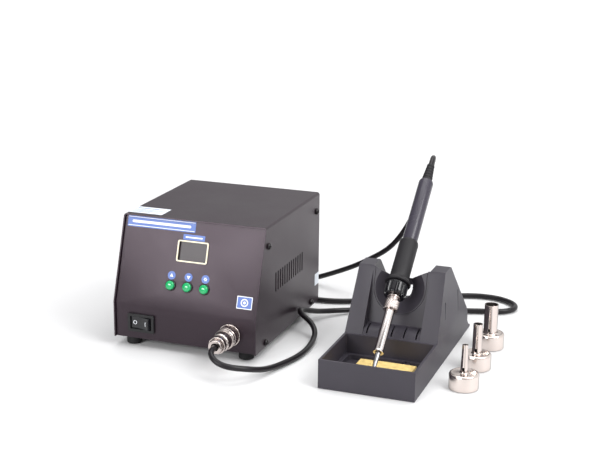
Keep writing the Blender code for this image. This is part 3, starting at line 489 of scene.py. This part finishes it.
flat_piece("top_label_lines", [rounded(3.5, 42.6, 24.0, 43.9, 0.4, 3), rounded(3.5, 38.2, 29.0, 39.1, 0.3, 3),
                               rounded(3.5, 34.8, 26.0, 35.7, 0.3, 3), rounded(3.5, 31.4, 20.0, 32.3, 0.3, 3)], M["label_blue"], TOPM, 0.10, 0.15)
SIDEM = frame_at((130.0, 0, 0), (0, 1, 0), (0, 0, 1), (1, 0, 0))
flat_piece("seal_sticker", [rounded(144.2, 24.3, 154.7, 35.4, 0.6)], M["paper_white"], SIDEM, 0.01, 0.11)

# rocker switch
SWITCH = frame_at((25.3, 2.0, 22.0), (1, 0, 0), (0, 0, 1), (0, -1, 0))
refined("switch_housing", M["black_plastic"], 0.35, 2, 30)
half = [(9.2 * math.cos(math.radians(a)), 9.2 * math.sin(math.radians(a))) for a in range(-24, 22, 5)]
mid = [(8.2 * math.sin(math.radians(a)), 1.95 + 1.35 * (1 - math.cos(math.radians(a)))) for a in range(80, -81, -10)]
outline = [(1.6, -4.6)] + half + mid + [(-x, y) for x, y in reversed(half)] + [(-1.6, -4.6)]
bm = prism(bmesh.new(), outline, "Y", -5.3, 5.3)
rock = obj_from_bm(bm, "switch_rocker_look", M["gloss_black"])
RM = SWITCH @ Matrix.Translation(mm(0, 0, -0.5)) @ Matrix.Rotation(math.radians(-12), 4, "Y")
rock.matrix_world = RM
bevel(rock, 0.3, 3, 35)
swap(bake(rock), "switch_rocker")
bar = prism(bmesh.new(), rounded(-0.35, -1.9, 0.35, 1.9, 0.3, 3), "Z", 0, 0.08)
o = obj_from_bm(bar, "rocker_on_mark", WHITE)
o.matrix_world = RM @ Matrix.Translation(mm(5.4, 0, 2.46)) @ Matrix.Rotation(math.radians(-11), 4, "Y")
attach(o, "rocker")
o = lathe("rocker_off_mark", [(1.25, 0), (1.75, 0), (1.75, 0.08), (1.25, 0.08)], WHITE,
          RM @ Matrix.Translation(mm(-5.4, 0, 2.46)) @ Matrix.Rotation(math.radians(11), 4, "Y"), 32, soft=0.0)
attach(o, "rocker")

# screws with a cross recess
head = [(0, -1.9), (1.4, -1.88), (2.2, -1.5), (2.7, -0.9), (2.9, -0.35), (2.9, 0), (1.4, 0), (1.4, 4.0), (0, 4.0)]
k = 0
for s in (0, 1):
    for y, z in ((28.0, 94.0), (146.5, 94.5), (22.5, 11.5), (134.0, 12.0)):
        k += 1
        mx = at(130.3 if s else -0.3, y, z) @ Matrix.Rotation(math.radians(-90 if s else 90), 4, "Y") @ Matrix.Rotation(0.35 + 0.9 * k, 4, "Z")
        o = lathe("cover_screw_%d_look" % k, head, M["screw_steel"], mx, 40, soft=0.15)
        bm = bmesh.new()
        prism(bm, [(-1.5, -0.32), (1.5, -0.32), (1.5, 0.32), (-1.5, 0.32)], "Z", -3, -1.1)
        cut(o, bm, mx)
        bm = bmesh.new()
        prism(bm, [(-0.32, -1.5), (0.32, -1.5), (0.32, 1.5), (-0.32, 1.5)], "Z", -3, -1.1)
        cut(o, bm, mx)
        swap(o, "cover_screw_%d" % k)

foot = [(0, 0), (5.6, 0), (6.3, 0.4), (6.6, 1.2), (6.2, 7.4), (1.6, 7.4), (1.6, 9.25), (2.6, 9.25), (1.2, 11.3), (0, 11.3)]
for i, (x, y) in enumerate(((13, 12), (117, 12), (13, 143), (117, 143))):
    swap(lathe("foot_%d_look" % (i + 1), foot, M["foot_rubber"], at(x, y, 0), 48, soft=0.5), "foot_%d" % (i + 1))

# connector
CONN = frame_at((106.4, 2.0, 22.3), (1, 0, 0), (0, 0, 1), (0, -1, 0))


def knurl(n, depth, h0, h1, r_min, ease=0.35):
    def wave(t, h, r):
        if r < r_min or h < h0 or h > h1:
            return 0.0
        e = min(1.0, (h - h0) / ease, (h1 - h) / ease)
        return -depth * e * (0.5 - 0.5 * math.cos(n * t)) ** 1.3
    return wave


def diamond(n, pitch, depth, h0, h1, r_min):
    def wave(t, h, r):
        if r < r_min or h < h0 or h > h1:
            return 0.0
        a = n * t + 2 * math.pi * h / pitch
        b = n * t - 2 * math.pi * h / pitch
        e = min(1.0, (h - h0) / 0.3, (h1 - h) / 0.3)
        return -depth * e * (1 - abs(math.cos(a / 2)) * abs(math.cos(b / 2)))
    return wave


NI = M["nickel"]
swap(lathe("panel_socket_look", [(0, -12), (6.5, -12), (6.5, -4.2), (9.2, -4.2), (9.2, -1.5), (7.9, -1.5), (7.9, 0.3), (9.7, 0.3),
                                 (9.7, 1.6), (9.3, 2.0), (7.4, 2.0), (7.4, 8.0), (5.8, 8.0), (5.8, 4.0), (0, 4.0)], NI, CONN, 72), "panel_socket")
swap(lathe("coupling_nut_look", [(7.75, 2.3), (8.5, 2.3), (8.9, 2.8), (8.9, 8.6), (8.5, 9.0), (8.5, 9.6), (8.9, 10.0), (8.9, 11.4), (8.3, 12.2),
                                 (6.9, 12.2), (6.9, 9.0), (7.75, 9.0)], NI, CONN, 160, wave=knurl(40, 0.38, 3.0, 8.4, 8.6), step=0.6, soft=0.15), "coupling_nut")
swap(lathe("plug_shell_look", [(0, 4.4), (5.4, 4.4), (5.4, 8.4), (6.5, 8.4), (6.5, 12.6), (8.7, 12.6), (8.7, 13.5), (7.9, 13.9), (7.9, 20.6),
                               (7.3, 21.8), (5.9, 22.6), (5.9, 31.0), (5.4, 31.6), (3.2, 31.6), (3.0, 31.2), (3.0, 23.0), (0, 23.0)], NI, CONN, 96), "plug_shell")
swap(lathe("clamp_ring_look", [(6.2, 23.4), (7.0, 23.4), (7.3, 23.9), (7.3, 27.3), (6.9, 27.8), (6.2, 27.8)], NI, CONN, 96), "clamp_ring")

# back
refined("power_inlet", M["black_plastic"], 0.4, 2, 30)
refined("fuse_drawer", M["black_plastic"], 0.3, 2, 30)
IN = frame_at((38.0, 153.0, 42.0), (-1, 0, 0), (0, 0, 1), (0, 1, 0))
for i, (x, y) in enumerate(((-4.6, -0.4), (4.6, -0.4), (0, 4.2))):
    bm = prism(bmesh.new(), rounded(x - 1.0, y - 2.0, x + 1.0, y + 2.0, 0.3, 3), "Z", -12.4, -2.5)
    o = obj_from_bm(bm, "inlet_pin_%d" % (i + 1), NI)
    o.matrix_world = IN
    bevel(o, 0.3, 2, 40)
    bake(o)
    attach(o, "station")

for n in ("display_module", "control_board", "transformer_core", "transformer_coil"):
    me = NODES[n].data
    me.materials.clear()
    me.materials.append(M[SLOT[n]] if SLOT[n] in M else M["black_plastic"])

# ------------------------------------------------------------------ stand
refined("stand_base", M["stand_plastic"], 0.55, 3, 26)
refined("holder_cradle", M["stand_plastic"], 0.4, 2, 26)

# sponge: damp cellulose, a little crowned, its edges soft and its face full of small pores
rng = np.random.default_rng(7)
sx0, sy0, sx1, sy1, sz0, sz1 = 17.6, 7.6, 65.8, 54.4, 4.3, 8.6
nx, ny = 150, 146


def smooth_noise(shape, cells, seed):
    g = np.random.default_rng(seed).normal(size=(cells[0] + 3, cells[1] + 3))
    xs = np.linspace(0, cells[0], shape[0])
    ys = np.linspace(0, cells[1], shape[1])
    xi, yi = np.floor(xs).astype(int), np.floor(ys).astype(int)
    fx, fy = (xs - xi), (ys - yi)
    fx, fy = (fx * fx * (3 - 2 * fx))[:, None], (fy * fy * (3 - 2 * fy))[None, :]
    a, b = g[np.ix_(xi, yi)], g[np.ix_(xi + 1, yi)]
    c, d = g[np.ix_(xi, yi + 1)], g[np.ix_(xi + 1, yi + 1)]
    return (a * (1 - fx) + b * fx) * (1 - fy) + (c * (1 - fx) + d * fx) * fy


wav = smooth_noise((nx, ny), (5, 5), 3) * 0.12 + smooth_noise((nx, ny), (18, 17), 4) * 0.05
pores = smooth_noise((nx, ny), (70, 68), 5)
pores = -0.22 * np.clip(pores - 1.0, 0, 1) + 0.03 * smooth_noise((nx, ny), (120, 118), 6)
bm = bmesh.new()
top, low = [], []
for i in range(nx):
    u = i / (nx - 1)
    tr, lr = [], []
    for j in range(ny):
        v = j / (ny - 1)
        # rounded rectangle outline, edges wandering a little
        x, y = sx0 + (sx1 - sx0) * u, sy0 + (sy1 - sy0) * v
        e = min(u * (sx1 - sx0), (1 - u) * (sx1 - sx0), v * (sy1 - sy0), (1 - v) * (sy1 - sy0))
        r = 1.3
        f = 1.0 if e > r else math.sqrt(max(0.0, 1 - (1 - e / r) ** 2))
        zt = sz1 - 0.35 + wav[i, j] + pores[i, j]
        z = sz0 + 0.9 + (zt - sz0 - 0.9) * (0.25 + 0.75 * f)
        tr.append(bm.verts.new(P(194 + x, -27.8 + y, min(z, sz1 + 0.1))))
        lr.append(bm.verts.new(P(194 + x, -27.8 + y, sz0 + 0.1 + 0.7 * (1 - f))))
    top.append(tr)
    low.append(lr)
for i in range(nx - 1):
    for j in range(ny - 1):
        bm.faces.new((top[i][j], top[i + 1][j], top[i + 1][j + 1], top[i][j + 1]))
        bm.faces.new((low[i][j + 1], low[i + 1][j + 1], low[i + 1][j], low[i][j]))
for i in range(nx - 1):
    bm.faces.new((low[i][0], low[i + 1][0], top[i + 1][0], top[i][0]))
    bm.faces.new((top[i][-1], top[i + 1][-1], low[i + 1][-1], low[i][-1]))
for j in range(ny - 1):
    bm.faces.new((top[0][j], top[0][j + 1], low[0][j + 1], low[0][j]))
    bm.faces.new((low[-1][j], low[-1][j + 1], top[-1][j + 1], top[-1][j]))
M["sponge"] = mat("sponge_look", (0.79, 0.585, 0.225), 0.92, grain=(1500, 0.6, 0.0004), fine=(420, 0.5, 0.0006), tint=0.14, tscale=240, rvar=0.03)
sponge = obj_from_bm(bm, "sponge_look", M["sponge"], 60)
swap(sponge, "sponge")

# ------------------------------------------------------------------ iron
ca, sa = math.cos(math.radians(39.5)), math.sin(math.radians(39.5))
IRON = frame_at((233.5, -5.5, 16.1), (1, 0, 0), (0, -sa, ca), (0, ca, sa))
swap(lathe("iron_tip_look", [(0, -8.0), (0.45, -7.7), (1.6, 0), (2.25, 9.0), (2.25, 19.0), (3.2, 19.0), (3.2, 30.0), (0, 30.0)],
           M["tip_metal"], IRON, 56, soft=0.3), "iron_tip")
swap(lathe("iron_barrel_look", [(2.6, 12.4), (3.9, 12.0), (4.35, 12.3), (4.35, 13.0), (3.85, 14.2), (3.85, 60.0), (3.5, 60.0), (3.5, 18.6), (2.6, 18.6)],
           M["barrel_steel"], IRON, 72, soft=0.2), "iron_barrel")
swap(lathe("barrel_nut_look", [(4.15, 52.4), (5.6, 52.4), (6.1, 52.9), (6.1, 60.4), (5.6, 61.0), (4.5, 61.4), (4.5, 63.6), (5.7, 63.9),
                               (5.7, 65.4), (4.15, 65.4)], NI, IRON, 144, wave=diamond(20, 1.9, 0.45, 53.0, 60.3, 5.8), step=0.28, soft=0.15), "barrel_nut")
swap(lathe("iron_core_look", [(0, 60.3), (3.85, 60.3), (3.85, 66.0), (4.6, 66.0), (4.6, 77.5), (0, 77.5)], M["black_plastic"], IRON, 48), "iron_core")


def flutes(t, h, r):
    if r < 7.9 or h > 76.3:
        return 0.0
    e = min(1.0, (76.3 - h) / 0.8)
    c = max(0.0, math.cos(10 * t))
    return -1.25 * e * c ** 0.7


swap(lathe("collar_nut_look", [(4.9, 65.8), (7.9, 65.8), (8.9, 66.6), (9.45, 68.4), (9.45, 76.4), (8.9, 77.6), (4.9, 77.6)], M["gloss_black"], IRON, 200,
           wave=flutes, step=0.5, soft=0.3), "collar_nut")
swap(lathe("iron_grip_look", [(0, 78.0), (10.3, 78.0), (10.9, 78.5), (10.9, 79.9), (10.3, 80.6), (9.0, 81.5), (8.3, 83.0), (8.15, 86.0), (8.15, 118.4), (7.6, 120.6),
                              (6.7, 120.6), (6.7, 110.3), (0, 110.3)], M["grip_rubber"], IRON, 80, soft=0.6), "iron_grip")
swap(lathe("iron_handle_look", [(0, 110.6), (6.4, 110.6), (6.4, 183.4), (5.7, 185.2), (4.9, 185.2), (4.9, 175.3), (0, 175.3)], M["handle_plastic"], IRON, 80, soft=0.5), "iron_handle")
relief = [(0, 175.6), (4.6, 175.6), (4.6, 186.0)]
for i in range(5):
    h, r = 187.2 + 3.0 * i, 4.6 - 0.26 * i
    relief += [(r, h), (r - 0.6, h + 0.35), (r - 0.6, h + 1.15), (r - 0.1, h + 1.5)]
relief += [(3.4, 202.4), (3.15, 203.0), (2.7, 203.0), (2.7, 190.0), (0, 190.0)]
swap(lathe("strain_relief_look", relief, M["grip_rubber"], IRON, 56, soft=0.2), "strain_relief")

# ------------------------------------------------------------------ nozzles
for name, ((x, y), rt, rb, h) in {"small": ((301.0, 15.8), 2.35, 3.1, 36.0), "medium": ((300.8, 61.7), 3.85, 4.1, 38.0), "large": ((300.7, 113.6), 5.9, 5.9, 38.2)}.items():
    R, Hn, t = 12.0, 13.0, 0.9
    prof = [(R - t, 0), (R, 0), (R, Hn - 1.6), (R - 0.5, Hn - 0.5), (R - 1.5, Hn), (R - 2.2, Hn - 0.3), (rb + 0.5, Hn - 0.3),
            (rb, Hn + 0.4), (rt, h - 0.5), (rt, h), (rt - 0.6, h), (rb - 0.7, Hn + 0.4), (rb - 0.7, Hn - 1.3), (R - 2.0, Hn - 1.3), (R - t, Hn - 2.4)]
    mx = at(x, y, 0)
    o = lathe("nozzle_%s_look" % name, prof, M["nozzle"], mx, 96, soft=0.35)
    bm = prism(bmesh.new(), rounded(-0.8, Hn + 0.9, 0.8, Hn + 4.6, 0.5, 4), "Y", -rb - 2, -rb + 1.4)
    cut(o, bm, mx)
    o.data.shade_smooth()
    o.data.set_sharp_from_angle(angle=math.radians(50))
    o.data.materials.append(M["nozzle_tube"])
    o.data.materials.append(M["nozzle_bore"])
    # painted shade: faces turned inwards, down the bore, get the near-black metal; faces above the cup get the tube's
    # copy of the metal
    for f in o.data.polygons:
        c, nn = f.center * 1000, f.normal
        inward = c.x * nn.x + c.y * nn.y < -0.3 * math.hypot(c.x, c.y)
        f.material_index = 2 if inward else (1 if c.z > Hn + 0.3 else 0)
    swap(o, "nozzle_" + name)

# ------------------------------------------------------------------ floor, world, light
bm = bmesh.new()
bmesh.ops.create_grid(bm, x_segments=1, y_segments=1, size=14)
floor_glow_mat = mat("floor_look", (0.70, 0.70, 0.705), 0.62, tint=0.01, tscale=3, grain=(300, 0.02, 0.0001))
n, l = floor_glow_mat.node_tree.nodes, floor_glow_mat.node_tree.links
# painted light: the floor glows, from nothing near the set to bright far away, standing in for a light tent's bright
# background
tc = n.new("ShaderNodeTexCoord")
ln = n.new("ShaderNodeVectorMath")
ln.operation = "LENGTH"
l.new(tc.outputs["Object"], ln.inputs[0])
mr = n.new("ShaderNodeMapRange")
mr.interpolation_type = "SMOOTHSTEP"
mr.inputs["From Min"].default_value, mr.inputs["From Max"].default_value = 0.35, 1.7
mr.inputs["To Min"].default_value, mr.inputs["To Max"].default_value = 0.0, 0.62
l.new(ln.outputs["Value"], mr.inputs["Value"])
n["Principled BSDF"].inputs["Emission Color"].default_value = (1, 1, 1, 1)
l.new(mr.outputs["Result"], n["Principled BSDF"].inputs["Emission Strength"])
floor = obj_from_bm(bm, "floor", floor_glow_mat)
floor.location = (0, 0, -0.0004)

w = bpy.data.worlds.new("studio")
SCENE.world = w
w.use_nodes = True
nt = w.node_tree
bg = nt.nodes["Background"]
tc = nt.nodes.new("ShaderNodeTexCoord")
dot = nt.nodes.new("ShaderNodeVectorMath")
dot.operation = "DOT_PRODUCT"
dot.inputs[1].default_value = Vector((0.62, 0.25, 0.74)).normalized()
nt.links.new(tc.outputs["Generated"], dot.inputs[0])
ramp = nt.nodes.new("ShaderNodeValToRGB")
mrr = nt.nodes.new("ShaderNodeMapRange")
mrr.inputs["From Min"].default_value, mrr.inputs["From Max"].default_value = -1, 1
nt.links.new(dot.outputs["Value"], mrr.inputs["Value"])
nt.links.new(mrr.outputs["Result"], ramp.inputs["Fac"])
els = ramp.color_ramp.elements
els[0].position, els[0].color = 0.20, (0.16, 0.16, 0.17, 1)
els[1].position, els[1].color = 0.80, (1.0, 1.0, 1.0, 1)
e = els.new(0.48)
e.color = (0.38, 0.38, 0.39, 1)
nt.links.new(ramp.outputs["Color"], bg.inputs["Color"])
bg.inputs["Strength"].default_value = 1.0


def area(name, loc, target, size, power, size_y=None, color=(1, 1, 1)):
    d = bpy.data.lights.new(name, "AREA")
    d.energy = power
    d.color = color
    d.shape = "RECTANGLE"
    d.size, d.size_y = size, size_y or size
    o = bpy.data.objects.new(name, d)
    o.location = loc
    o.rotation_euler = (Vector(target) - Vector(loc)).to_track_quat("-Z", "Y").to_euler()
    COLL.objects.link(o)
    return o


area("key", (1.5, -0.4, 1.5), (0.05, 0, 0.05), 1.1, 27, 1.1)
area("top", (0.1, 0.5, 2.0), (0, 0, 0.05), 1.8, 21, 1.4)
area("panel", (-0.58, -1.50, 0.66), (-0.09, 0, 0.06), 1.0, 17, 0.42)
SCENE.view_settings.view_transform = "Standard"
SCENE.view_settings.look = "None"
SCENE.view_settings.exposure = 0.0
